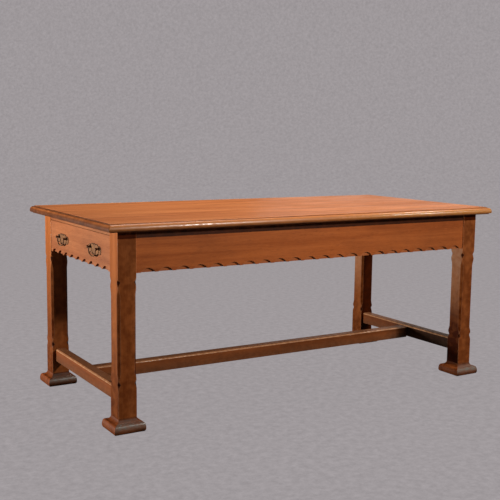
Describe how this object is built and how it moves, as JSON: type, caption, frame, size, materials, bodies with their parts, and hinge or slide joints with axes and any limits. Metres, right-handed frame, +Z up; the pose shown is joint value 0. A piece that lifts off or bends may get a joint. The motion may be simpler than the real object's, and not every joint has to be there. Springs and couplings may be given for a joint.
{
  "type": "library table",
  "caption": "Long oak library table on square stop-chamfered legs with moulded feet, H stretcher, scalloped aprons and an end drawer with drop handles.",
  "frame": {"origin": "on the floor, under the middle of the table", "axes": "+Z up, X along the length with the drawer at the -X end, Y across the width"},
  "size_m": [1.828, 0.875, 0.762],
  "materials": {
    "top_oak": "wax-polished oak boards, warm orange-brown",
    "frame_oak": "polished oak, aged brown, darker in mouldings and chamfers",
    "inner_oak": "bare oak, dry and unpolished",
    "aged_brass": "cast brass, darkened with age, rubbed bright on the high parts",
    "dull_steel": "dull steel"
  },
  "bodies": {
    "frame": {"top_board_1": "top_oak", "top_board_2": "top_oak", "top_board_3": "top_oak", "top_board_4": "top_oak", "leg_front_left": "frame_oak", "leg_front_right": "frame_oak", "leg_back_left": "frame_oak", "leg_back_right": "frame_oak", "foot_front_left": "frame_oak", "foot_front_right": "frame_oak", "foot_back_left": "frame_oak", "foot_back_right": "frame_oak", "apron_front": "frame_oak", "apron_back": "frame_oak", "apron_right": "frame_oak", "top_rail": "frame_oak", "stretcher_left": "frame_oak", "stretcher_right": "frame_oak", "stretcher_centre": "frame_oak", "cross_rail": "inner_oak", "top_bearer": "inner_oak", "drawer_runner_front": "inner_oak", "drawer_runner_back": "inner_oak", "drawer_guide_front": "inner_oak", "drawer_guide_back": "inner_oak", "drawer_kicker_front": "inner_oak", "drawer_kicker_back": "inner_oak", "drawer_stop_front": "inner_oak", "drawer_stop_back": "inner_oak", "top_button_front_1": "inner_oak", "top_button_front_2": "inner_oak", "top_button_front_3": "inner_oak", "top_button_front_4": "inner_oak", "top_button_back_1": "inner_oak", "top_button_back_2": "inner_oak", "top_button_back_3": "inner_oak", "top_button_back_4": "inner_oak", "top_button_right_1": "inner_oak", "top_button_right_2": "inner_oak"},
    "drawer": {"drawer_front": "frame_oak", "drawer_side_front": "inner_oak", "drawer_side_back": "inner_oak", "drawer_back": "inner_oak", "drawer_bottom": "inner_oak", "handle_plate_front": "aged_brass", "handle_plate_back": "aged_brass", "handle_post_front_a": "aged_brass", "handle_post_front_b": "aged_brass", "handle_post_back_a": "aged_brass", "handle_post_back_b": "aged_brass", "handle_nut_front_a": "dull_steel", "handle_nut_front_b": "dull_steel", "handle_nut_back_a": "dull_steel", "handle_nut_back_b": "dull_steel"},
    "bail_front": {"bail_front": "aged_brass"},
    "bail_back": {"bail_back": "aged_brass"}
  },
  "joints": [
    {"name": "drawer_slide", "type": "slide", "parent": "frame", "child": "drawer", "axis": [-1, 0, 0], "range_m": [0, 0.36]},
    {"name": "bail_front_swing", "type": "hinge", "parent": "drawer", "child": "bail_front", "pos_m": [-0.8735, -0.172, 0.649], "axis": [0, 1, 0], "range_deg": [0, 170]},
    {"name": "bail_back_swing", "type": "hinge", "parent": "drawer", "child": "bail_back", "pos_m": [-0.8735, 0.172, 0.649], "axis": [0, 1, 0], "range_deg": [0, 170]}
  ]
}
